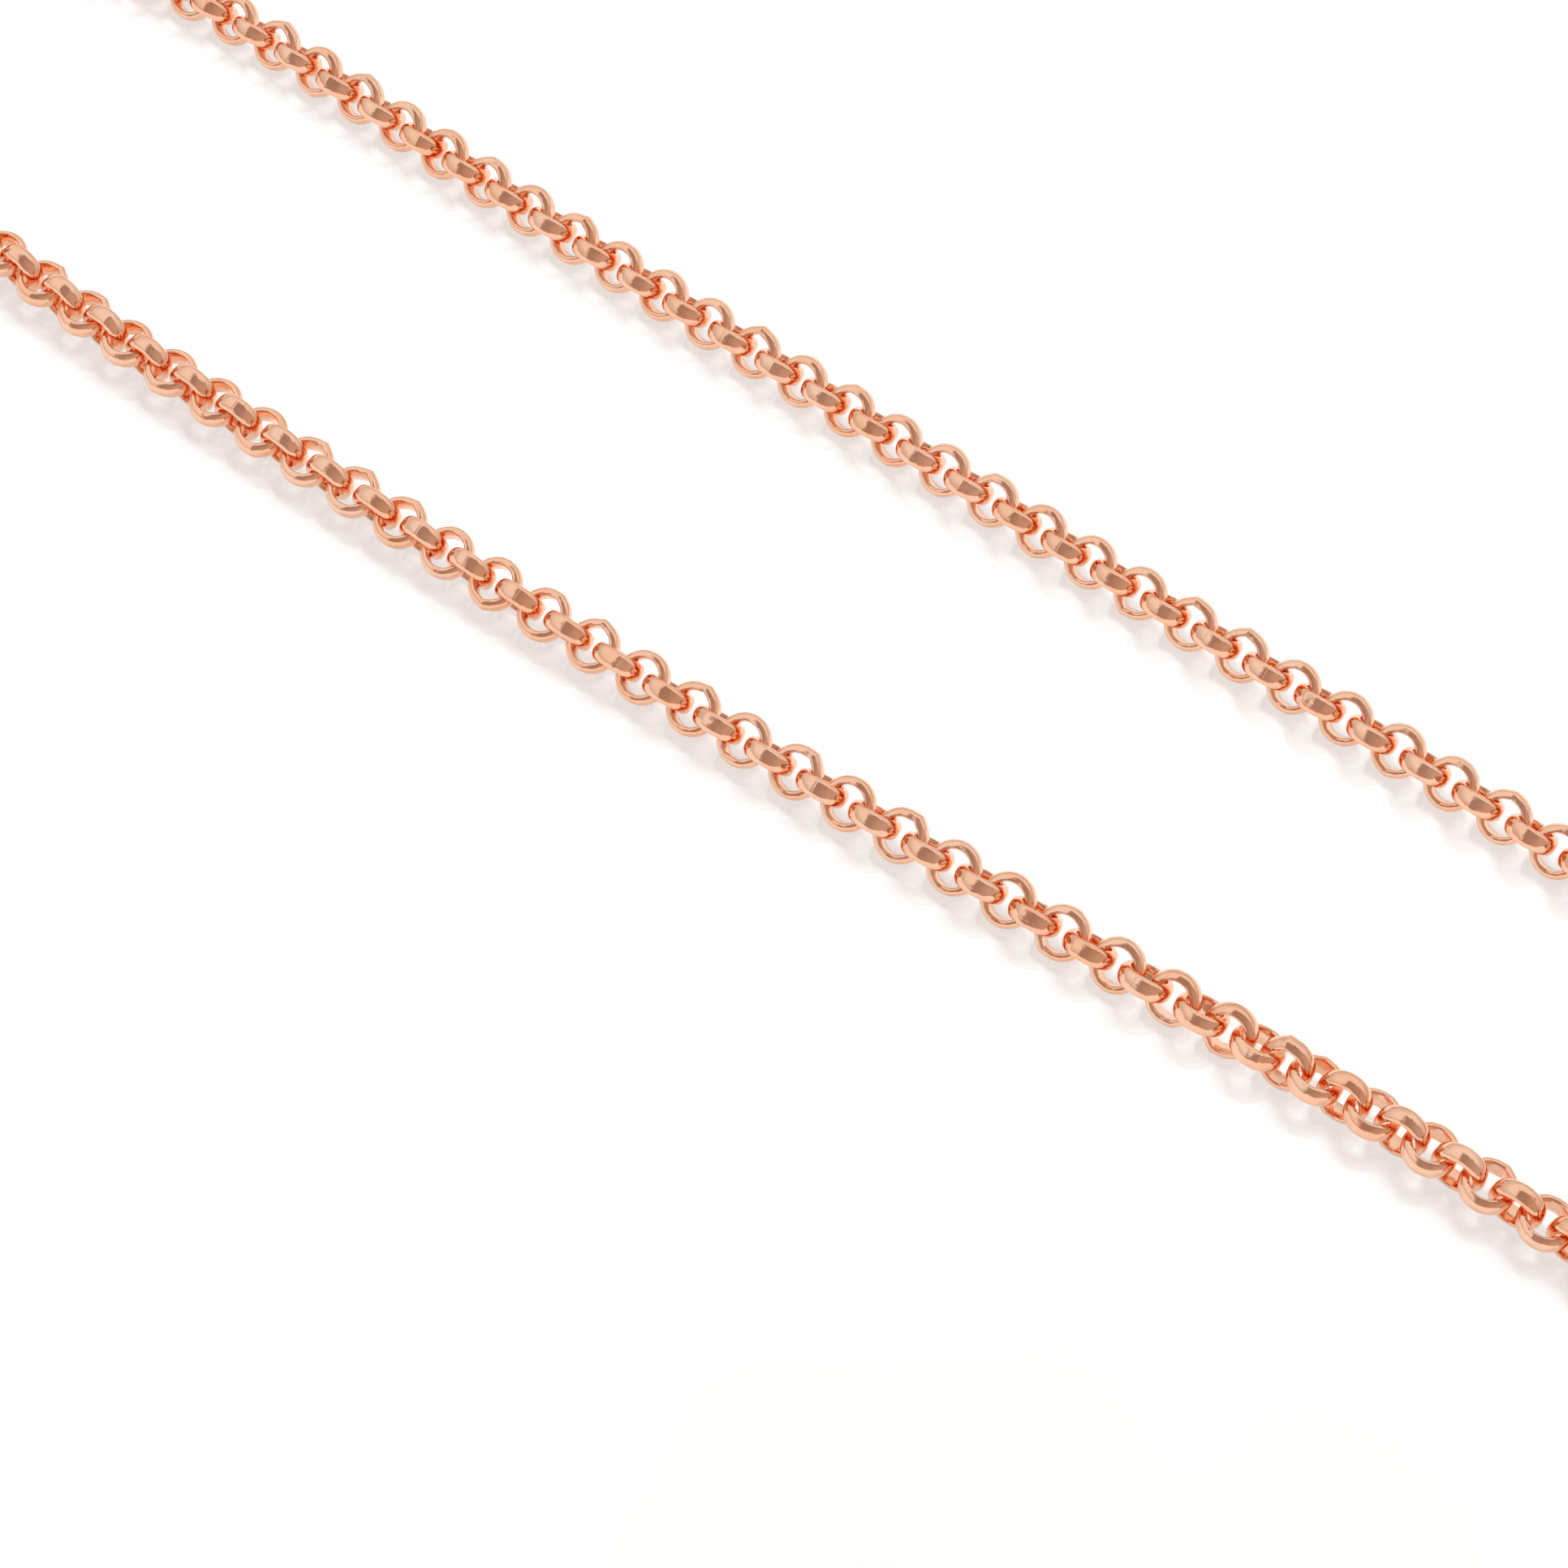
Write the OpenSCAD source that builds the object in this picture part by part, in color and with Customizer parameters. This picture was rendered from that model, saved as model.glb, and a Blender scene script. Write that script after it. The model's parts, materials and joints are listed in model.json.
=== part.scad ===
// Belcher chain necklace, laid open in a long U: two nearly straight runs, a turn at one end,
// and a lobster clasp and an end tag, unhooked, at the other.
// Origin: on the table under the middle of the necklace. +X runs along the U towards the clasp.

/* [Links] */
// Outer diameter of a link
link_od = 4.0; // [3.9:0.05:4.1]
// Width of the half-round wire, along the link's own axis
wire_w = 1.4; // [1.3:0.05:1.4]
// Thickness of the half-round wire, from the flat inside to the crown
wire_t = 0.6; // [0.56:0.01:0.6]
// Distance between the centres of neighbouring links
pitch = 2.225; // [2.2:0.005:2.23]
// How much closer they sit in the turn, where the chain is slack
turn_slack = 0.05; // [0.04:0.01:0.08]

/* [Jump rings] */
// Outer diameter of a jump ring
jump_od = 5.0; // [4.8:0.1:5.2]
// Diameter of its round wire
jump_wire = 0.8; // [0.7:0.05:0.85]

/* [End tag] */
// Thickness of the tag
tag_t = 0.9; // [0.8:0.1:1]
// Radius of the hole that the clasp hooks into
tag_hook_r = 1.6; // [1.5:0.05:1.7]
// Distance between its two holes
tag_holes = 4.8; // [4.6:0.1:5.2]

/* [Clasp] */
// Thickness of the clasp body
clasp_t = 3.2; // [3.1:0.1:3.3]
// Radius of the claw's bend, along its middle
claw_r = 2.6; // [2.5:0.05:2.7]
// Radius of the claw's bar
claw_bar = 1.1; // [1:0.05:1.15]
// Radius of the rivet
rivet_r = 0.35; // [0.3:0.01:0.38]

/* [Hidden] */
$fn = 48;
groups = 40;                    // stretches of chain, each a node
group_links = 5;                // links in one stretch
links = groups * group_links;
crown_r = (wire_w * wire_w / 4 + wire_t * wire_t) / (2 * wire_t);  // radius of the wire's crown
crown_ring = link_od / 2 - crown_r;                                // radius of the circle it runs round

// Which way the chain heads at some of its links, in degrees from +X
headings = [[0, 182], [24, 180], [28, 181], [32, 182.6], [44, 182.3], [52, 181.9], [60, 180.9], [68, 180.1],
            [76, 179.8], [80, 178], [84, 177], [90, 176], [93, 157], [108.5, 22], [111.5, 3], [116, 0],
            [119, -1.6], [123, -2.4], [128, -2], [132, -1.2], [137, -0.5], [142, -0.6], [148, -1],
            [153, -0.8], [157, 0], [162, 0.3], [166, -0.6], [172, -2], [199, -4]];
// How far the chain is rolled about its own line at some of its links, in degrees
rolls = [[0, -90], [26, -90], [32, -74], [36, -56], [40, -45], [48, -41], [56, -36], [62, -24], [70, -12],
         [78, -2], [88, 0], [100, 24], [112, 44], [118, 48], [170, 48], [192, 8], [199, 0]];

function heading(k) = lookup(k, headings);
function roll(k) = lookup(k, rolls) + (k % 2 == 0 ? 90 : 0);
function ahead(angle) = [cos(angle), sin(angle), 0];
// A link rests where its own ring or its neighbour's, whichever reaches lower, meets the table
function rest_z(k) = crown_r + crown_ring * max(abs(sin(roll(k))), abs(cos(roll(k))));

// Jump rings stand upright in the first and last links
jump_r = (jump_od - jump_wire) / 2;
jump_reach = 2.35;              // from a link's centre to its jump ring's
jump_hold = 1.95;               // from a jump ring's centre to the centre of the next hole
// End tag: its small end hangs on the jump ring and its big end rests on the table
tag_eye_r = 1.1;
tag_rim = 1.0;
tag_lift = 1.6;
tag_tilt = asin((tag_lift - tag_t / 2) / (tag_holes + tag_hook_r + tag_rim));
// Clasp, from the centre of its eye
eye_r = 1.9;
eye_hole = 1.1;
eye_t = 0.9;
pivot = [4.4, -1.6];
claw_at = [8.2, -0.1];
claw_tip = -48;                 // angle at which the claw ends
claw_swell = 0.06;              // how much fuller its straight root and its tip are
slot_t = 1.3;                   // slot for the lever between the two cheeks
lever_t = 1.1;
lever_hub = 0.9;
lever_end = 8.6;
rivet_head = 0.6;
rivet_head_t = 0.3;
spring_wire = 0.12;
spring_r = 0.56;
spring_pocket = 0.76;
gap = 0.05;
// How far the tag and the clasp reach past the first and the last link
tag_far = jump_reach + jump_hold + (tag_holes + tag_hook_r + tag_rim) * cos(tag_tilt);
clasp_far = jump_reach + jump_hold + claw_at.x + claw_r + claw_bar;

// Link centres on the table, each one pitch on from the last, then moved to put the middle at the origin
turn = [88, 113];               // the links between which the chain turns back
function step_on(k) = pitch - (k >= turn[0] && k <= turn[1] ? turn_slack : 0);
steps = [for (k = 0, p = [0, 0, 0]; k < links; p = p + step_on(k) * ahead(heading(k + 0.5)), k = k + 1) p];
near_x = max(steps[0].x + tag_far, steps[links - 1].x + clasp_far);
far_x = min([for (p = steps) p.x]) - link_od / 2;
middle = [(near_x + far_x) / 2, (max([for (p = steps) p.y]) + min([for (p = steps) p.y])) / 2, 0];
centres = [for (k = [0:links - 1]) steps[k] - middle + [0, 0, rest_z(k)]];

// One link: half-round wire bent into a ring about Z, crown outwards
module link() {
    rotate_extrude()
        intersection() {
            translate([crown_ring, 0]) circle(crown_r);
            translate([link_od / 2 - wire_t, -wire_w / 2]) square([wire_t, wire_w]);
        }
}

// One stretch of chain: its links stay separate solids that pass through each other's holes
module chain_stretch(g) {
    color("#e8a183")
        for (k = [g * group_links:(g + 1) * group_links - 1])
            translate(centres[k]) rotate([0, 0, heading(k)]) rotate([roll(k), 0, 0]) link();
}

// Puts a part beyond the first link (way = 180) or the last link (way = 0), x away from its centre
module beyond(k, way, x) {
    translate([centres[k].x, centres[k].y, 0]) rotate([0, 0, heading(k) + way]) translate([x, 0, 0]) children();
}

module jump_ring() {
    translate([0, 0, jump_od / 2]) rotate([90, 0, 0])
        rotate_extrude() translate([jump_r, 0]) circle(jump_wire / 2);
}

module tag_ring() {
    color("#e8a183") beyond(0, 180, jump_reach) jump_ring();
}

module clasp_ring() {
    color("#e8a183") beyond(links - 1, 0, jump_reach) jump_ring();
}

// Outline of the tag: two discs joined by their common tangents
module tag_outline() {
    small = tag_eye_r + tag_rim;
    big = tag_hook_r + tag_rim;
    lean = 90 + asin((big - small) / tag_holes);
    circle(small);
    translate([tag_holes, 0]) circle(big);
    polygon([small * [cos(lean), sin(lean)], small * [cos(lean), -sin(lean)],
             [tag_holes, 0] + big * [cos(lean), -sin(lean)], [tag_holes, 0] + big * [cos(lean), sin(lean)]]);
}

module end_tag() {
    color("#e8a183") beyond(0, 180, jump_reach + jump_hold) translate([0, 0, tag_lift]) rotate([0, tag_tilt, 0])
        difference() {
            translate([0, 0, -tag_t / 2]) linear_extrude(tag_t) tag_outline();
            cylinder(r = tag_eye_r, h = 2 * tag_t, center = true);
            translate([tag_holes, 0, 0]) cylinder(r = tag_hook_r, h = 2 * tag_t, center = true);
        }
}

// Puts a clasp part in place, from the centre of the clasp's eye
module on_clasp() {
    beyond(links - 1, 0, jump_reach + jump_hold) translate([0, 0, clasp_t / 2]) children();
}

// Outline of the housing: the claw's root above, the lever's pivot boss below
module housing_outline() {
    translate(pivot) circle(1.5);
    translate([4.3, 1.75]) circle(1.55);
    polygon([[1.6, -0.8], [1.6, 0.8], [3.1, 2.75], [5.85, 1.75], [5.9, -1.6], [3.2, -2.5]]);
}

module clasp_body() {
    color("#e8a183") on_clasp() difference() {
        union() {
            cylinder(r = eye_r, h = eye_t, center = true);
            translate([0, 0, -clasp_t / 2]) linear_extrude(clasp_t) housing_outline();
            translate([4.3, claw_at.y + claw_r, 0]) rotate([0, 90, 0])
                cylinder(r = claw_bar + claw_swell, h = claw_at.x - 4.2);
            translate([claw_at.x, claw_at.y, 0]) rotate([0, 0, claw_tip])
                rotate_extrude(angle = 90 - claw_tip) translate([claw_r, 0]) circle(claw_bar);
            translate([claw_at.x + claw_r * cos(claw_tip), claw_at.y + claw_r * sin(claw_tip), 0])
                sphere(claw_bar + claw_swell);
        }
        cylinder(r = eye_hole, h = 2 * eye_t, center = true);
        translate([3.3, -4, -slot_t / 2]) cube([4, 4.9, slot_t]);
        translate([pivot.x, pivot.y, 0]) cylinder(r = rivet_r + 0.01, h = 2 * clasp_t, center = true);
        for (side = [-1, 1])
            translate([pivot.x, pivot.y, side * clasp_t / 2])
                cylinder(r = rivet_head + 0.01, h = 2 * (rivet_head_t + 0.01), center = true);
    }
}

module clasp_lever() {
    color("#dc9476") on_clasp() difference() {
        union() {
            translate([pivot.x, pivot.y, -lever_t / 2]) cylinder(r = lever_hub, h = lever_t);
            translate([0, 0, -lever_t / 2]) linear_extrude(lever_t)
                polygon([[pivot.x, pivot.y + 0.75], [lever_end, -1.5], [lever_end, -2.75],
                         [pivot.x + 1.2, -3.3], [pivot.x, pivot.y - lever_hub]]);
            translate([pivot.x + 1.3, -3.35, -lever_t / 2]) cylinder(r = 0.75, h = lever_t);
        }
        translate([pivot.x, pivot.y, 0]) {
            cylinder(r = rivet_r + gap, h = 2 * lever_t, center = true);
            cylinder(r = spring_pocket, h = 6.4 * spring_wire, center = true);
        }
        translate([pivot.x - 1, pivot.y, -1.5 * spring_wire]) cube([3.2, 1, 3 * spring_wire]);
    }
}

module clasp_rivet() {
    color("#c98368") on_clasp() translate([pivot.x, pivot.y, 0]) {
        cylinder(r = rivet_r, h = clasp_t, center = true);
        for (side = [0, 1])
            mirror([0, 0, side]) translate([0, 0, clasp_t / 2 - rivet_head_t]) cylinder(r = rivet_head, h = rivet_head_t);
    }
}

// Return spring: a coil round the rivet, one leg against the housing and one along the lever
module clasp_spring() {
    color("#b9b4ad") on_clasp() translate([pivot.x, pivot.y, 0]) {
        for (turn = [-1:1])
            translate([0, 0, 1.8 * turn * spring_wire])
                rotate_extrude() translate([spring_r, 0]) circle(spring_wire);
        translate([-spring_r, 0, 0]) rotate([-90, 0, 0]) cylinder(r = spring_wire, h = 2.2);
        translate([0, spring_r, 0]) rotate([0, 90, 0]) cylinder(r = spring_wire, h = 2);
    }
}

for (g = [0:groups - 1])
    chain_stretch(g);
tag_ring();
end_tag();
clasp_ring();
clasp_body();
clasp_lever();
clasp_rivet();
clasp_spring();
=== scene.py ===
import bpy
import bmesh
import json
import math
import random
from mathutils import Matrix, Quaternion, Vector

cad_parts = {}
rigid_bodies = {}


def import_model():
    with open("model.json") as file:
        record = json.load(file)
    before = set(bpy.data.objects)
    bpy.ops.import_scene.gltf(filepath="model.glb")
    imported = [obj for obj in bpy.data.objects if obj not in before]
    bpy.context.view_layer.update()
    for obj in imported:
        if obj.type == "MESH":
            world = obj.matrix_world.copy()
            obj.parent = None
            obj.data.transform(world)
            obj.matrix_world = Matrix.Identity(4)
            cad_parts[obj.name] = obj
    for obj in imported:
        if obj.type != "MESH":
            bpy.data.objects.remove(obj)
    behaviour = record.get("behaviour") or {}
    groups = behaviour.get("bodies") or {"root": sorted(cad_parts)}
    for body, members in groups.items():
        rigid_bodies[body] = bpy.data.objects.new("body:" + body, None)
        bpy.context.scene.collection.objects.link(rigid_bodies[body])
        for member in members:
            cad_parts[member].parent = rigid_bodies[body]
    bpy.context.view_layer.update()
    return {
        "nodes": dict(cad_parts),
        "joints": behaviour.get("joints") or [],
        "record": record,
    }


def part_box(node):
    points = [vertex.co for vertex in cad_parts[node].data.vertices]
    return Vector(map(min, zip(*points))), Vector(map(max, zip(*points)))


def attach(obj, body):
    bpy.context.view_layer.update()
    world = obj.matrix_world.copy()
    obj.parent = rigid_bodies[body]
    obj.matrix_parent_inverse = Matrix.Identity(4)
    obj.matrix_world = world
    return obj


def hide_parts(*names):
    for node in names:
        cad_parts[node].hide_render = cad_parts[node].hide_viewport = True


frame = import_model()
nodes = frame["nodes"]
mm = 0.001


def report(stage):
    print("necklace:", stage)


def meshPiece(name, verts, faces, smooth=True):
    mesh = bpy.data.meshes.new(name)
    mesh.from_pydata([tuple(v) for v in verts], [], faces)
    mesh.update()
    piece = bpy.data.objects.new(name, mesh)
    bpy.context.scene.collection.objects.link(piece)
    for face in mesh.polygons:
        face.use_smooth = smooth
    return piece


def finishPiece(piece, body, material, replaced):
    piece.data.materials.clear()
    piece.data.materials.append(material)
    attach(piece, body)
    if replaced:
        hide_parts(replaced)


def gridFaces(rings, points, first=0):
    # quads between closed rings of points, the last ring joined to the first
    faces = []
    for i in range(rings):
        j = (i + 1) % rings
        for p in range(points):
            q = (p + 1) % points
            faces.append((first + i * points + p, first + j * points + p,
                          first + j * points + q, first + i * points + q))
    return faces


goldLook = {
    "tone": (0.94, 0.58, 0.41),           # where it mirrors white
    "deepTone": (0.93, 0.52, 0.33),       # slightly redder plating
    "toneSize": 260,                      # how fine the change of tone is, per metre
    "gloss": (0.045, 0.11),               # smoothest and dullest roughness
    "smearSize": 900,                     # how fine the duller patches are, per metre
    "unevenness": 1.0,                    # soft waviness left by tumbling
    "unevenSize": 1000,
    "hairlines": 0.03,                    # depth of the polishing lines
    "hairlineSize": 16000,
}

steelLook = {
    **goldLook,
    "tone": (0.62, 0.6, 0.58),
    "deepTone": (0.5, 0.48, 0.46),
    "gloss": (0.18, 0.3),
    "unevenness": 0.1,
}


def polishedMetal(name, look):
    material = bpy.data.materials.new(name)
    material.use_nodes = True
    tree = material.node_tree
    shader = tree.nodes["Principled BSDF"]
    shader.inputs["Metallic"].default_value = 1.0
    place = tree.nodes.new("ShaderNodeTexCoord")

    def noise(size, detail):
        node = tree.nodes.new("ShaderNodeTexNoise")
        node.inputs["Scale"].default_value = size
        node.inputs["Detail"].default_value = detail
        tree.links.new(place.outputs["Object"], node.inputs["Vector"])
        return node.outputs["Fac"]

    tone = tree.nodes.new("ShaderNodeValToRGB")
    tone.color_ramp.elements[0].position = 0.35
    tone.color_ramp.elements[0].color = (*look["deepTone"], 1)
    tone.color_ramp.elements[1].position = 0.6
    tone.color_ramp.elements[1].color = (*look["tone"], 1)
    tree.links.new(noise(look["toneSize"], 2), tone.inputs["Fac"])
    tree.links.new(tone.outputs["Color"], shader.inputs["Base Color"])

    gloss = tree.nodes.new("ShaderNodeMapRange")
    gloss.inputs["From Min"].default_value = 0.4
    gloss.inputs["From Max"].default_value = 0.7
    gloss.inputs["To Min"].default_value = look["gloss"][0]
    gloss.inputs["To Max"].default_value = look["gloss"][1]
    tree.links.new(noise(look["smearSize"], 3), gloss.inputs["Value"])
    tree.links.new(gloss.outputs["Result"], shader.inputs["Roughness"])

    wavy = tree.nodes.new("ShaderNodeBump")
    wavy.inputs["Strength"].default_value = look["unevenness"]
    wavy.inputs["Distance"].default_value = 0.1 * mm
    tree.links.new(noise(look["unevenSize"], 1), wavy.inputs["Height"])
    fine = tree.nodes.new("ShaderNodeBump")
    fine.inputs["Strength"].default_value = look["hairlines"]
    fine.inputs["Distance"].default_value = 0.01 * mm
    tree.links.new(noise(look["hairlineSize"], 2), fine.inputs["Height"])
    tree.links.new(wavy.outputs["Normal"], fine.inputs["Normal"])
    tree.links.new(fine.outputs["Normal"], shader.inputs["Normal"])
    return material


chainGold = polishedMetal("chainGold", goldLook)
findingsGold = polishedMetal("findingsGold", {**goldLook, "unevenness": 0.15})
claspGold = polishedMetal("claspGold", {**goldLook, "unevenness": 0.2, "gloss": (0.05, 0.13)})
springSteel = polishedMetal("springSteel", steelLook)

linkShape = {
    "across": 4.04 * mm,
    "wireWidth": 1.45 * mm,
    "wireThickness": 0.65 * mm,
    "edgeRadius": 0.11 * mm,
    "crownPower": 2.35,                   # 2 is a plain ellipse, more is flatter on top
    "segments": 62,                       # steps round the link
    "cornerShare": 0.55,                  # share of links whose closed ends meet in a corner
    "cornerHalfAngle": (15, 25),          # half the angle of the two straight ends
    "cornerSpread": 24,                   # how far a corner strays from the link's side
    "ovality": 0.010,                     # most that a link is out of round
    "seamDepth": 0.022 * mm,
    "seamHalfAngle": 1.1,                 # degrees either side of the soldered seam
    "firstSeed": 500,
}


def wireSection(shape):
    # closed outline of the wire as (outwards from the inner flat, along the link's axis)
    half = shape["wireWidth"] / 2
    thick = shape["wireThickness"]
    edge = shape["edgeRadius"]
    power = shape["crownPower"]
    points = []
    for step in range(3):
        points.append((0, (half - edge) * (1 - step)))
    for step in range(1, 3):
        turn = math.radians(90 * step / 2)
        points.append((edge * (1 - math.cos(turn)), -(half - edge) - edge * math.sin(turn)))
    crownSteps = 12
    for step in range(1, crownSteps):
        turn = math.radians(-90 + 180 * step / crownSteps)
        reach = (abs(math.cos(turn)) ** power + abs(math.sin(turn)) ** power) ** (-1 / power)
        points.append((edge + (thick - edge) * reach * math.cos(turn), half * reach * math.sin(turn)))
    for step in range(0, 2):
        turn = math.radians(90 * step / 2)
        points.append((edge * (1 - math.sin(turn)), (half - edge) + edge * math.cos(turn)))
    return points


def linkAngles(shape):
    # degrees from the seam, closer together beside it
    near = [0, shape["seamHalfAngle"], 2.4, 5]
    rest = shape["segments"] - 2 * len(near) + 1
    span = 360 - 2 * near[-1]
    angles = near + [near[-1] + span * (i + 1) / (rest + 1) for i in range(rest)]
    return angles + [360 - a for a in reversed(near[1:])]


def linkMesh(shape, centre, axis, along, seed):
    # one link as rings of section points; along is the way the chain runs
    draw = random.Random(seed)
    inner = shape["across"] / 2 - shape["wireThickness"]
    across = axis.cross(along).normalized()
    side = draw.choice((-90, 90)) + draw.uniform(-1, 1) * shape["cornerSpread"]
    cornered = draw.random() < shape["cornerShare"]
    halfAngle = draw.uniform(*shape["cornerHalfAngle"]) if cornered else 0
    oval = draw.uniform(-1, 1) * shape["ovality"]
    lean = draw.uniform(0, 180)
    section = wireSection(shape)
    verts = []
    for turn in linkAngles(shape):
        fromSeam = min(turn, 360 - turn)
        bulge = 1 / math.cos(math.radians(halfAngle - fromSeam)) if fromSeam < halfAngle else 1
        bulge *= 1 + oval * math.cos(math.radians(2 * (turn - lean)))
        sunk = shape["seamDepth"] if fromSeam < 0.01 else 0
        angle = math.radians(side + turn)
        outwards = along * math.cos(angle) + across * math.sin(angle)
        for out, up in section:
            depth = sunk * min(1, out / shape["wireThickness"] * 2)
            radius = inner * bulge + out - depth
            verts.append(centre + outwards * radius + axis * up)
    return verts, len(section)


def islandsOf(node):
    # the CAD node's separate links: area-weighted centre and thinnest direction of each
    work = bmesh.new()
    work.from_mesh(node.data)
    bmesh.ops.remove_doubles(work, verts=work.verts, dist=1e-6)
    work.faces.ensure_lookup_table()
    seen = set()
    found = []
    for start in work.faces:
        if start.index in seen:
            continue
        seen.add(start.index)
        waiting = [start]
        area = 0
        centre = Vector()
        members = []
        while waiting:
            face = waiting.pop()
            members.append(face)
            area += face.calc_area()
            centre += face.calc_center_median() * face.calc_area()
            for edge in face.edges:
                for near in edge.link_faces:
                    if near.index not in seen:
                        seen.add(near.index)
                        waiting.append(near)
        centre /= area
        spread = Matrix(((0, 0, 0), (0, 0, 0), (0, 0, 0)))
        for face in members:
            arm = (face.calc_center_median() - centre) / mm
            weight = face.calc_area() / area
            for row in range(3):
                for col in range(3):
                    spread[row][col] += arm[row] * arm[col] * weight
        found.append((centre, thinnestWay(spread)))
    work.free()
    return found


def thinnestWay(spread):
    # smallest eigenvector, by repeated multiplication with the inverse
    inverse = spread.inverted()
    way = Vector((0.31, 0.57, 0.76))
    for _ in range(60):
        way = (inverse @ way).normalized()
    return way


chainNodes = sorted(name for name in nodes if name.startswith("chain_"))
middles = {name: sum(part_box(name), Vector()) / 2 for name in chainNodes}
links = []                                # (node, centre, axis) in the chain's order
for number, name in enumerate(chainNodes):
    before = middles[chainNodes[max(number - 1, 0)]]
    after = middles[chainNodes[min(number + 1, len(chainNodes) - 1)]]
    run = (after - before).normalized()
    found = sorted(islandsOf(nodes[name]), key=lambda link: link[0].dot(run))
    links += [(name, centre, axis) for centre, axis in found]
report(f"{len(links)} links found")


def makeChain():
    stretches = {name: ([], []) for name in chainNodes}
    for number, (name, centre, axis) in enumerate(links):
        before = links[max(number - 1, 0)][1]
        after = links[min(number + 1, len(links) - 1)][1]
        along = after - before
        along = (along - axis * along.dot(axis)).normalized()
        verts, faces = stretches[name]
        ring, points = linkMesh(linkShape, centre, axis, along, linkShape["firstSeed"] + number)
        faces += gridFaces(len(ring) // points, points, len(verts))
        verts += ring
    for name, (verts, faces) in stretches.items():
        piece = meshPiece("links_" + name[-2:], verts, faces)
        finishPiece(piece, name, chainGold, name)


makeChain()
report("chain made")


joints = {joint["name"]: joint for joint in frame["joints"]}
mounts = {mount["name"]: mount for mount in frame["record"]["mounts"]}
up = Vector((0, 0, 1))


def placed(origin, xWay, zWay):
    # matrix from a part's own millimetres to its place
    zAxis = zWay.normalized()
    yAxis = zAxis.cross(xWay).normalized()
    xAxis = yAxis.cross(zAxis)
    turn = Matrix((xAxis, yAxis, zAxis)).transposed().to_4x4()
    return Matrix.Translation(origin) @ turn @ Matrix.Scale(mm, 4)


def ringFrame(jointName):
    joint = joints[jointName]
    side = Vector(joint["axis"])
    return placed(Vector(joint["pos_m"]), side.cross(up), side)


def arc(centre, radius, start, end, steps):
    # points on an arc in the XY plane, angles in degrees
    turns = [math.radians(start + (end - start) * i / steps) for i in range(steps + 1)]
    return [Vector((centre[0] + radius * math.cos(a), centre[1] + radius * math.sin(a), 0)) for a in turns]


def sweep(path, radii, sides):
    # a closed round tube along an open path, with rounded ends
    first = (path[1] - path[0]).normalized()
    last = (path[-1] - path[-2]).normalized()
    rounding = ((0.5, 0.55), (0.25, 0.85))    # how far past the end, and how thick there
    start, end = radii[0], radii[-1]
    stations = [(path[0] - first * start * past, start * share) for past, share in rounding]
    stations += list(zip(path, radii))
    stations += [(path[-1] + last * end * past, end * share) for past, share in reversed(rounding)]
    verts = []
    lean = None
    for i, (spot, radius) in enumerate(stations):
        ahead = (stations[min(i + 1, len(stations) - 1)][0] - stations[max(i - 1, 0)][0]).normalized()
        if lean is None:
            lean = ahead.orthogonal()
        lean = (lean - ahead * lean.dot(ahead)).normalized()
        other = ahead.cross(lean)
        for s in range(sides):
            turn = 2 * math.pi * s / sides
            verts.append(spot + (lean * math.cos(turn) + other * math.sin(turn)) * radius)
    faces = []
    for i in range(len(stations) - 1):
        for s in range(sides):
            t = (s + 1) % sides
            faces.append((i * sides + s, i * sides + t, (i + 1) * sides + t, (i + 1) * sides + s))
    lastRing = (len(stations) - 1) * sides
    faces.append(tuple(reversed(range(sides))))
    faces.append(tuple(range(lastRing, lastRing + sides)))
    return verts, faces


def outerHull(points):
    # corners of the convex outline round the points, anticlockwise
    points = sorted({(round(p[0], 5), round(p[1], 5)) for p in points})

    def half(run):
        kept = []
        for p in run:
            while len(kept) > 1 and ((kept[-1][0] - kept[-2][0]) * (p[1] - kept[-2][1])
                                     - (kept[-1][1] - kept[-2][1]) * (p[0] - kept[-2][0])) <= 0:
                kept.pop()
            kept.append(p)
        return kept[:-1]

    return half(points) + half(reversed(points))


def disc(centre, radius, steps=40):
    return [(p.x, p.y) for p in arc(centre, radius, 0, 360 - 360 / steps, steps - 1)]


def plate(name, outlines, thickness, edge):
    # flat outlines, holes among them, given thickness and rounded edges
    curve = bpy.data.curves.new(name, "CURVE")
    curve.dimensions = "2D"
    curve.fill_mode = "BOTH"
    curve.extrude = thickness / 2 - edge
    curve.bevel_depth = edge
    curve.bevel_resolution = 4
    curve.offset = -edge
    for outline in outlines:
        spline = curve.splines.new("POLY")
        spline.points.add(len(outline) - 1)
        for point, (x, y) in zip(spline.points, outline):
            point.co = (x, y, 0, 1)
        spline.use_cyclic_u = True
    piece = bpy.data.objects.new(name, curve)
    bpy.context.scene.collection.objects.link(piece)
    bpy.context.view_layer.update()
    mesh = bpy.data.meshes.new_from_object(piece.evaluated_get(bpy.context.evaluated_depsgraph_get()))
    bpy.data.objects.remove(piece)
    solid = bpy.data.objects.new(name, mesh)
    bpy.context.scene.collection.objects.link(solid)
    return solid


def withModifier(piece, kind, **settings):
    modifier = piece.modifiers.new(kind, kind)
    for key, value in settings.items():
        setattr(modifier, key, value)
    bpy.context.view_layer.update()
    mesh = bpy.data.meshes.new_from_object(piece.evaluated_get(bpy.context.evaluated_depsgraph_get()))
    piece.modifiers.clear()
    piece.data = mesh


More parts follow.
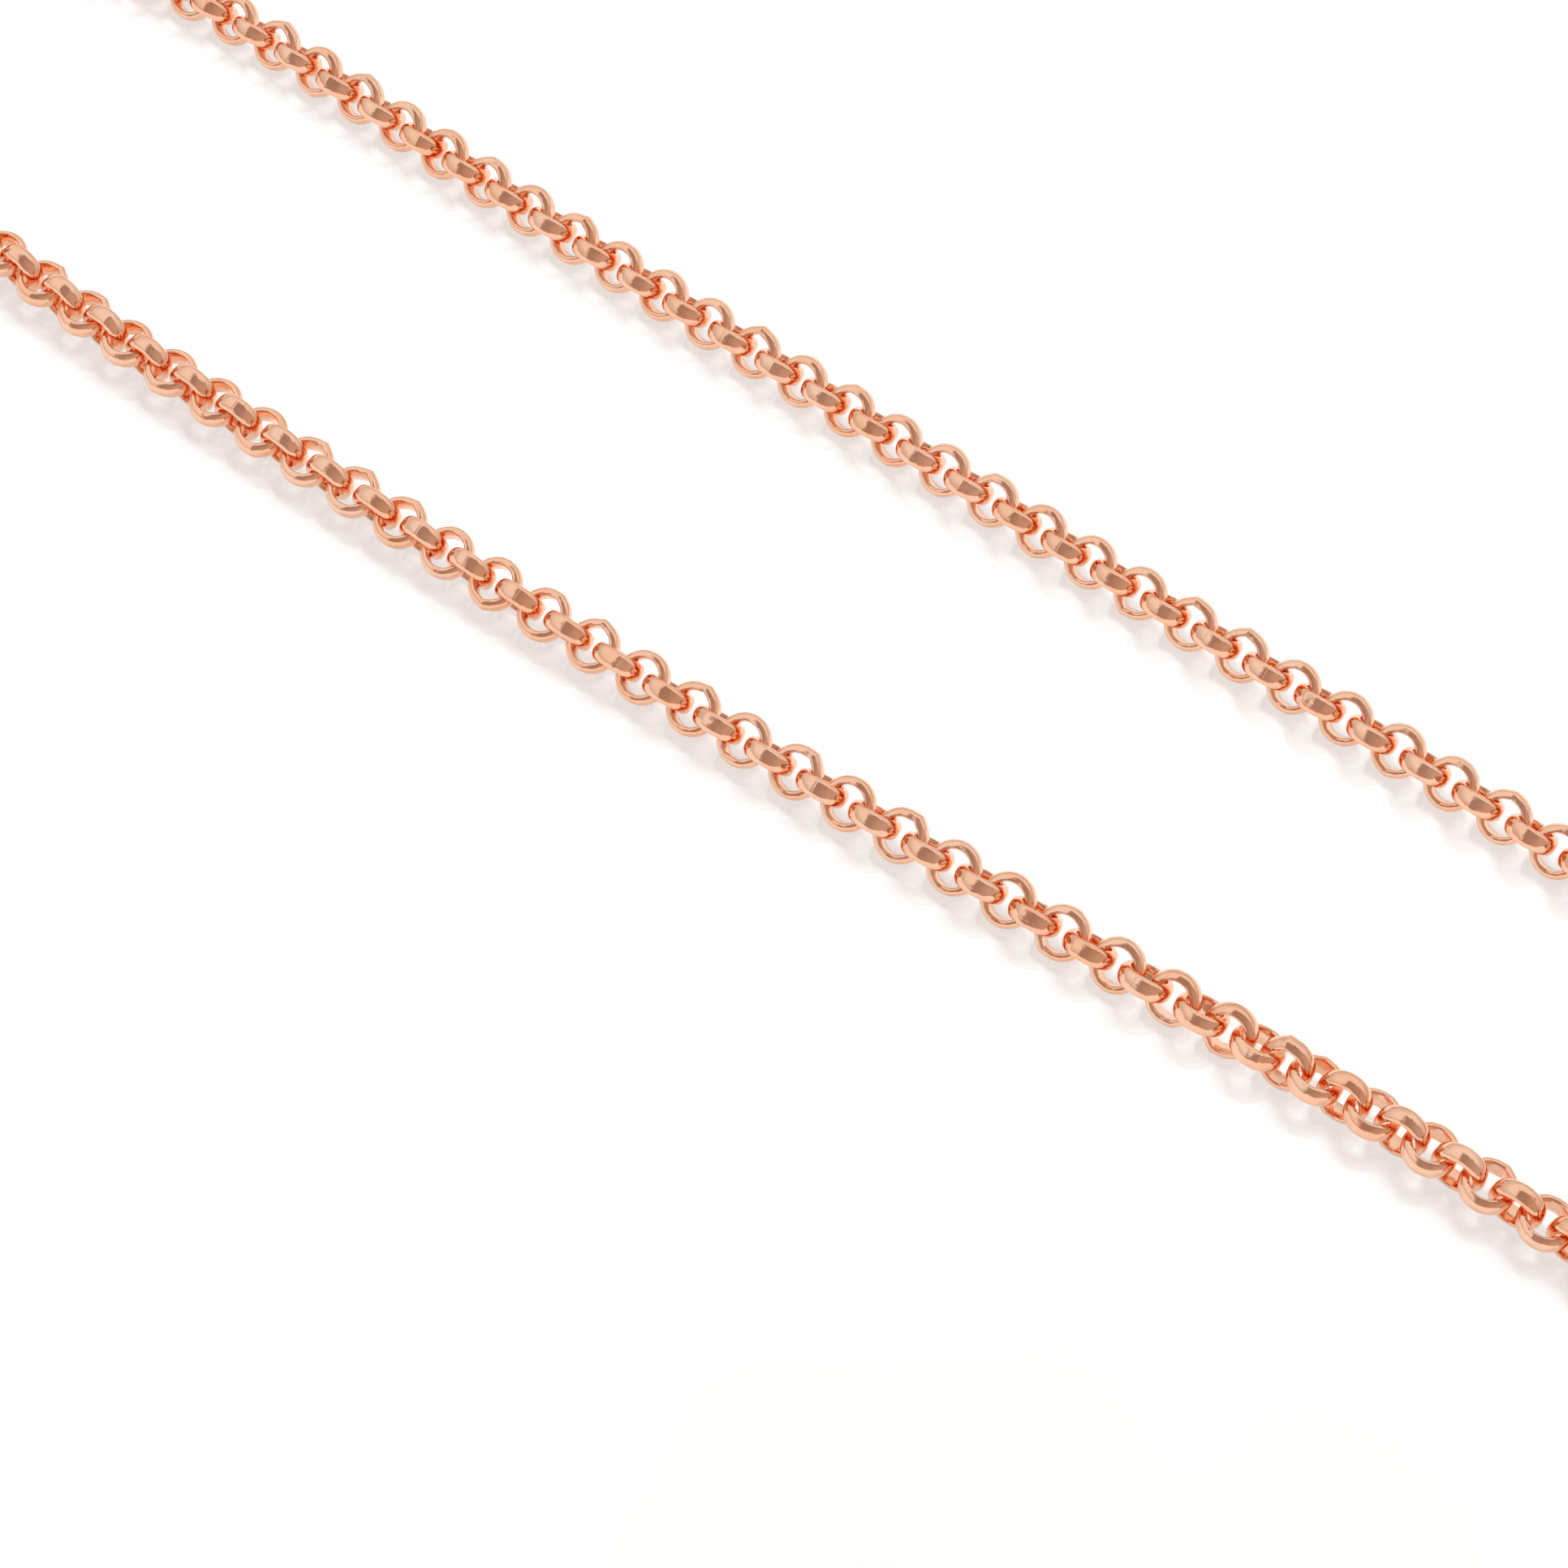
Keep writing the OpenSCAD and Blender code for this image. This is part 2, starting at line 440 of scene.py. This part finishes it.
def cast(name, parts, cutters, grain, smoothing):
    # parts run together and cutters taken out, softened as by tumbling
    work = bmesh.new()
    for part in parts:
        work.from_mesh(part.data)
        bpy.data.objects.remove(part)
    mesh = bpy.data.meshes.new(name)
    work.to_mesh(mesh)
    work.free()
    piece = bpy.data.objects.new(name, mesh)
    bpy.context.scene.collection.objects.link(piece)
    withModifier(piece, "REMESH", mode="VOXEL", voxel_size=grain)
    for cutter in cutters:
        withModifier(piece, "BOOLEAN", operation="DIFFERENCE", object=cutter, solver="EXACT")
        bpy.data.objects.remove(cutter)
    if cutters:
        withModifier(piece, "REMESH", mode="VOXEL", voxel_size=grain)
    withModifier(piece, "SMOOTH", factor=0.5, iterations=smoothing)
    for face in piece.data.polygons:
        face.use_smooth = True
    return piece


def block(name, low, high):
    corners = [(x, y, z) for x in (low[0], high[0]) for y in (low[1], high[1]) for z in (low[2], high[2])]
    faces = [(0, 1, 3, 2), (4, 6, 7, 5), (0, 4, 5, 1), (2, 3, 7, 6), (0, 2, 6, 4), (1, 5, 7, 3)]
    return meshPiece(name, corners, faces, False)


ringShape = {
    "across": 5.0,
    "wire": 0.8,
    "gap": 0.06,                          # the sawn cut, pressed almost shut
    "seamAt": 62,                         # degrees round the ring
}


def makeJumpRing(name, jointName, body, replaced):
    radius = (ringShape["across"] - ringShape["wire"]) / 2
    cut = math.degrees((ringShape["gap"] + 0.5 * ringShape["wire"]) / radius)
    path = arc((0, 0), radius, ringShape["seamAt"] + cut / 2, ringShape["seamAt"] + 360 - cut / 2, 72)
    verts, faces = sweep(path, [ringShape["wire"] / 2] * len(path), 20)
    piece = meshPiece(name, verts, faces)
    piece.data.transform(ringFrame(jointName))
    finishPiece(piece, body, findingsGold, replaced)


makeJumpRing("jump_ring_tag", "tag_ring_turn", "tag_ring", "tag_ring")
makeJumpRing("jump_ring_clasp", "clasp_ring_turn", "clasp_ring", "clasp_ring")
report("jump rings made")


tagShape = {
    "eyeHole": 1.1,
    "hookHole": 1.6,
    "rim": 1.0,
    "holes": 4.8,                         # distance between the two holes
    "thickness": 0.9,
    "edge": 0.3,                          # rounding of its rims
    "grain": 0.08,
}


def makeTag(spec):
    mount = mounts["tag_hook_hole"]
    normal = Vector(mount["axis"])
    outwards = Vector(mount["pos_m"]) - Vector(joints["tag_ring_turn"]["pos_m"])
    place = placed(Vector(mount["pos_m"]), outwards, normal)
    small = (-spec["holes"], 0)
    smallRim = disc(small, spec["eyeHole"] + spec["rim"], 64)
    largeRim = disc((0, 0), spec["hookHole"] + spec["rim"], 64)
    holes = [disc(small, spec["eyeHole"], 48)[::-1], disc((0, 0), spec["hookHole"], 48)[::-1]]
    blank = plate("tagBlank", [outerHull(smallRim + largeRim)] + holes, spec["thickness"], spec["edge"])
    piece = cast("end_tag_plate", [blank], [], spec["grain"], 4)
    piece.data.transform(place)
    finishPiece(piece, "end_tag", findingsGold, "end_tag")


makeTag(tagShape)
report("tag made")


claspShape = {
    "eyeToRing": 1.95,                    # from the jump ring's centre to the eye's
    "height": 1.6,
    "eye": (1.5, 0.42),                   # radius along its middle and half its width
    "eyeThick": 0.45,
    "pivot": (4.4, -1.6),
    "housing": ((1.9, 0.0, 0.75), (4.4, -1.6, 1.5), (4.3, 1.75, 1.55)),    # rounds that its outline wraps
    "housingThick": 3.2,
    "housingEdge": 0.75,
    "claw": (8.2, -0.1, 2.6),             # centre and radius of its bend
    "clawTip": -52,                       # degrees, where the bend ends
    "clawBar": (1.12, 0.95),              # radius at its root and at its tip
    "slot": 1.3,                          # width of the slot that the lever works in
    "slotFrom": (3.3, -4.2),
    "slotTo": (7.4, 0.9),
    "bore": 0.4,
    "lever": 1.1,
    "leverHub": 0.88,
    "leverEnd": 8.7,
    "leverNose": ((-1.82, 0.3), (-2.45, 0.3)),    # heights and radii of the two corners at its end
    "leverBelly": (1.2, -2.75, 0.5),      # from the pivot along, height, radius
    "thumb": (1.3, -3.3, 0.78),           # the knob that a nail pulls
    "pocket": (0.76, 0.3),                # radius and half depth of the hollow for the spring
    "slit": (1.0, 2.2, 1.0, 0.22),        # room for the spring's legs: back, ahead, up, half width
    "rivet": (0.35, 0.6),                 # radii of shank and head
    "springWire": 0.12,
    "springRadius": 0.56,
    "springTurns": 2.375,
    "springLeg": 2.0,
    "grain": 0.085,
    "leverGrain": 0.07,
}


def claspPlace(spec):
    joint = joints["clasp_ring_turn"]
    ahead = Vector(joint["axis"]).cross(up).normalized()
    spot = Vector(joint["pos_m"]) + ahead * spec["eyeToRing"] * mm
    spot.z = spec["height"] * mm
    return placed(spot, ahead, up)


def closedRing(radius, half, thick):
    # a ring of rounded flat section about Z
    sides = 16
    verts = []
    for i in range(64):
        turn = 2 * math.pi * i / 64
        for s in range(sides):
            a = 2 * math.pi * s / sides
            out = radius + half * math.copysign(abs(math.cos(a)) ** 0.7, math.cos(a))
            verts.append((out * math.cos(turn), out * math.sin(turn), thick * math.sin(a)))
    return verts, gridFaces(64, sides)


def pivotPin(name, spec, half, radius, sides):
    # a plain pin on the pivot, for cutting holes
    px, py = spec["pivot"]
    path = [Vector((px, py, z)) for z in (-half, 0, half)]
    return meshPiece(name, *sweep(path, [radius] * 3, sides))


def makeClaspBody(spec, place):
    eyeRadius, eyeHalf = spec["eye"]
    eye = meshPiece("eye", *closedRing(eyeRadius, eyeHalf, spec["eyeThick"]))
    spots = [p for x, y, r in spec["housing"] for p in disc((x, y), r, 56)]
    housing = plate("housing", [outerHull(spots)], spec["housingThick"], spec["housingEdge"])
    x, y, bend = spec["claw"]
    root = spec["housing"][2][0]
    path = [Vector((root + (x - root) * i / 6, y + bend, 0)) for i in range(6)]
    path += arc((x, y), bend, 90, spec["clawTip"], 40)
    thick, thin = spec["clawBar"]
    radii = [thick + (thin - thick) * (i / (len(path) - 1)) ** 1.6 for i in range(len(path))]
    claw = meshPiece("claw", *sweep(path, radii, 28))
    slot = block("slot", (*spec["slotFrom"], -spec["slot"] / 2), (*spec["slotTo"], spec["slot"] / 2))
    bore = pivotPin("bore", spec, 3, spec["bore"], 24)
    piece = cast("clasp_housing", [eye, housing, claw], [slot, bore], spec["grain"], 4)
    piece.data.transform(place)
    finishPiece(piece, "clasp", claspGold, "clasp_body")


def makeLever(spec, place):
    px, py = spec["pivot"]
    end = spec["leverEnd"]
    bellyAhead, bellyHeight, bellyRadius = spec["leverBelly"]
    spots = disc((px, py), spec["leverHub"])
    for height, radius in spec["leverNose"]:
        spots += disc((end - radius, height), radius)
    spots += disc((px + bellyAhead, bellyHeight), bellyRadius)
    arm = plate("arm", [outerHull(spots)], spec["lever"], 0.16)
    knobAhead, knobHeight, knobRadius = spec["thumb"]
    thumb = plate("thumb", [disc((px + knobAhead, knobHeight), knobRadius)], spec["lever"], 0.3)
    bore = pivotPin("leverBore", spec, 2, spec["bore"], 24)
    pocketRadius, pocketDepth = spec["pocket"]
    pocket = pivotPin("pocket", spec, pocketDepth, pocketRadius, 32)
    back, ahead, rise, half = spec["slit"]
    slit = block("slit", (px - back, py, -half), (px + ahead, py + rise, half))
    piece = cast("clasp_trigger", [arm, thumb], [bore, pocket, slit], spec["leverGrain"], 3)
    piece.data.transform(place)
    finishPiece(piece, "clasp_lever", claspGold, "clasp_lever")


def makeRivet(spec, place):
    # turned pin with low domed heads, flush with the cheeks
    shank, head = spec["rivet"]
    top = spec["housingThick"] / 2
    half = [(0.0, top), (head * 0.35, top - 0.005), (head * 0.7, top - 0.03), (head * 0.92, top - 0.08),
            (head, top - 0.15), (head, top - 0.29), (shank, top - 0.3)]
    outline = half + [(r, -z) for r, z in reversed(half)]
    sides = 32
    verts = [(r * math.cos(2 * math.pi * s / sides), r * math.sin(2 * math.pi * s / sides), z)
             for r, z in outline[1:-1] for s in range(sides)]
    rings = len(outline) - 2
    faces = [tuple(range(sides)), tuple(reversed(range((rings - 1) * sides, rings * sides)))]
    for i in range(rings - 1):
        for s in range(sides):
            t = (s + 1) % sides
            faces.append((i * sides + s, (i + 1) * sides + s, (i + 1) * sides + t, i * sides + t))
    piece = meshPiece("clasp_pin", verts, faces)
    px, py = spec["pivot"]
    piece.data.transform(place @ Matrix.Translation((px, py, 0)))
    finishPiece(piece, "clasp", claspGold, "clasp_rivet")


def makeSpring(spec, place):
    # close turns round the rivet, one leg up the housing and one along the lever
    px, py = spec["pivot"]
    radius = spec["springRadius"]
    wire = spec["springWire"]
    rise = 2.1 * wire
    turns = spec["springTurns"]
    steps = 84
    coil = []
    for i in range(steps + 1):
        part = i / steps
        angle = math.radians(180 + 360 * turns * part)
        coil.append(Vector((radius * math.cos(angle), radius * math.sin(angle), rise * turns * (0.5 - part))))
    leg = Vector((0, spec["springLeg"], 0))
    start = [coil[0] + leg, coil[0] + leg / 2]
    finish = [Vector((0.75, -0.04, -0.22)), Vector((1.1, 0.25, -0.1)), Vector((2.0, 0.5, 0))]
    path = start + coil + finish
    verts, faces = sweep([Vector((p.x + px, p.y + py, p.z)) for p in path], [wire] * len(path), 10)
    piece = meshPiece("clasp_coil", verts, faces)
    piece.data.transform(place)
    finishPiece(piece, "clasp", springSteel, "clasp_spring")


claspSpot = claspPlace(claspShape)
makeClaspBody(claspShape, claspSpot)
makeLever(claspShape, claspSpot)
makeRivet(claspShape, claspSpot)
makeSpring(claspShape, claspSpot)
report("clasp made")


cameraSet = {
    "spot": (66.84 * mm, -141.32 * mm, 220.0 * mm),
    "bearing": 31.8,                      # degrees the view leans from +Y towards -X
    "drop": 56.0,                         # degrees below level
    "roll": 5.84,
    "lens": 86.08,                        # on a sensor 36 mm wide
}


def makeCamera(spec):
    data = bpy.data.cameras.new("camera")
    data.lens = spec["lens"]
    data.sensor_width = 36
    data.clip_start = 0.01
    camera = bpy.data.objects.new("camera", data)
    bpy.context.scene.collection.objects.link(camera)
    camera.location = spec["spot"]
    bearing = math.radians(spec["bearing"])
    drop = math.radians(spec["drop"])
    view = Vector((-math.sin(bearing) * math.cos(drop), math.cos(bearing) * math.cos(drop), -math.sin(drop)))
    aim = view.to_track_quat("-Z", "Y")
    camera.rotation_mode = "QUATERNION"
    camera.rotation_quaternion = aim @ Quaternion((0, 0, 1), math.radians(spec["roll"]))
    bpy.context.scene.camera = camera


studio = {
    "sky": (0.68, 0.985),                 # brightness at table level and overhead
    "skyTone": (1.0, 0.99, 0.975),
    "darkLevels": (0.40, 0.46, 0.62),     # the unlit quarter of the room, from beside the light to far right
    "darkTone": (1.0, 0.77, 0.67),        # it is a warmer light there
    "darkFrom": (-0.22, 0.44),            # it starts right of the first and before the second
    "edge": 0.10,                         # how soft its edge is
    "edgeWander": 0.34,                   # how far its edge strays from straight
    "keyPower": 3.0,
    "keySize": (0.5, 0.4),
    "keyFrom": (0.05, 0.40, 0.75),
    "floor": 0.93,
    "floorGlow": 0.2,                     # keeps the floor white
    "floorShine": 0.12,                   # share of a faint mirror image
}


def makeWorld(spec):
    world = bpy.data.worlds.new("studio")
    bpy.context.scene.world = world
    world.use_nodes = True
    tree = world.node_tree
    where = tree.nodes.new("ShaderNodeTexCoord")
    parts = tree.nodes.new("ShaderNodeSeparateXYZ")
    tree.links.new(where.outputs["Generated"], parts.inputs[0])

    cloud = tree.nodes.new("ShaderNodeTexNoise")
    cloud.inputs["Scale"].default_value = 6
    tree.links.new(where.outputs["Generated"], cloud.inputs["Vector"])

    def beyond(way, start, end, wander=0.0):
        stray = tree.nodes.new("ShaderNodeMath")
        stray.operation = "MULTIPLY_ADD"
        stray.inputs[1].default_value = wander
        tree.links.new(cloud.outputs["Fac"], stray.inputs[0])
        tree.links.new(parts.outputs[way], stray.inputs[2])
        step = tree.nodes.new("ShaderNodeMapRange")
        step.interpolation_type = "SMOOTHSTEP"
        step.inputs["From Min"].default_value = start + wander / 2
        step.inputs["From Max"].default_value = end + wander / 2
        if start > end:
            step.inputs["From Min"].default_value = end + wander / 2
            step.inputs["From Max"].default_value = start + wander / 2
            step.inputs["To Min"].default_value = 1
            step.inputs["To Max"].default_value = 0
        tree.links.new(stray.outputs[0], step.inputs["Value"])
        return step.outputs["Result"]

    right, before = spec["darkFrom"]
    both = tree.nodes.new("ShaderNodeMath")
    both.operation = "MULTIPLY"
    edge = spec["edge"]
    wander = spec["edgeWander"]
    tree.links.new(beyond("X", right - edge, right + edge, wander), both.inputs[0])
    tree.links.new(beyond("Y", before + edge, before - edge, wander), both.inputs[1])
    dim = tree.nodes.new("ShaderNodeValToRGB")
    dim.color_ramp.elements.new(0.45)
    for stop, level in zip(dim.color_ramp.elements, spec["darkLevels"]):
        stop.color = (*[c * level for c in spec["darkTone"]], 1)
    tree.links.new(beyond("X", right, 1.0), dim.inputs["Fac"])
    room = tree.nodes.new("ShaderNodeMixRGB")
    height = tree.nodes.new("ShaderNodeMixRGB")
    for side, level in zip(("Color1", "Color2"), spec["sky"]):
        height.inputs[side].default_value = (*[c * level for c in spec["skyTone"]], 1)
    tree.links.new(beyond("Z", 0.0, 0.75), height.inputs["Fac"])
    tree.links.new(height.outputs["Color"], room.inputs["Color1"])
    tree.links.new(both.outputs[0], room.inputs["Fac"])
    tree.links.new(dim.outputs["Color"], room.inputs["Color2"])
    tree.links.new(room.outputs["Color"], tree.nodes["Background"].inputs["Color"])


def makeFloor(spec):
    size = 2.0
    floor = meshPiece("floor", [(-size, -size, 0), (size, -size, 0), (size, size, 0), (-size, size, 0)],
                      [(0, 1, 2, 3)], False)
    floor.location.z = -0.02 * mm
    material = bpy.data.materials.new("floorWhite")
    material.use_nodes = True
    shader = material.node_tree.nodes["Principled BSDF"]
    shader.inputs["Base Color"].default_value = (spec["floor"], spec["floor"], spec["floor"], 1)
    shader.inputs["Roughness"].default_value = 0.6
    shader.inputs["Specular IOR Level"].default_value = 0.0
    shader.inputs["Emission Color"].default_value = (1, 1, 1, 1)
    shader.inputs["Emission Strength"].default_value = spec["floorGlow"]
    tree = material.node_tree
    shine = tree.nodes.new("ShaderNodeBsdfGlossy")
    shine.inputs["Roughness"].default_value = 0.06
    mix = tree.nodes.new("ShaderNodeMixShader")
    mix.inputs["Fac"].default_value = spec["floorShine"]
    tree.links.new(shader.outputs["BSDF"], mix.inputs[1])
    tree.links.new(shine.outputs["BSDF"], mix.inputs[2])
    tree.links.new(mix.outputs["Shader"], tree.nodes["Material Output"].inputs["Surface"])
    floor.data.materials.append(material)


def makeKeyLight(spec):
    data = bpy.data.lights.new("key", "AREA")
    data.shape = "RECTANGLE"
    data.size, data.size_y = spec["keySize"]
    data.energy = spec["keyPower"]
    key = bpy.data.objects.new("key", data)
    bpy.context.scene.collection.objects.link(key)
    key.location = spec["keyFrom"]
    key.visible_glossy = False
    key.rotation_euler = (-key.location).to_track_quat("-Z", "Y").to_euler()


makeCamera(cameraSet)
makeWorld(studio)
makeFloor(studio)
makeKeyLight(studio)
bpy.context.scene.view_settings.view_transform = "Standard"
bpy.context.scene.cycles.glossy_bounces = 8
report("stage set")

for piece in bpy.context.scene.objects:
    if piece.type == "MESH" and piece.name != "floor":
        piece.visible_diffuse = False     # no coloured bounce onto the floor
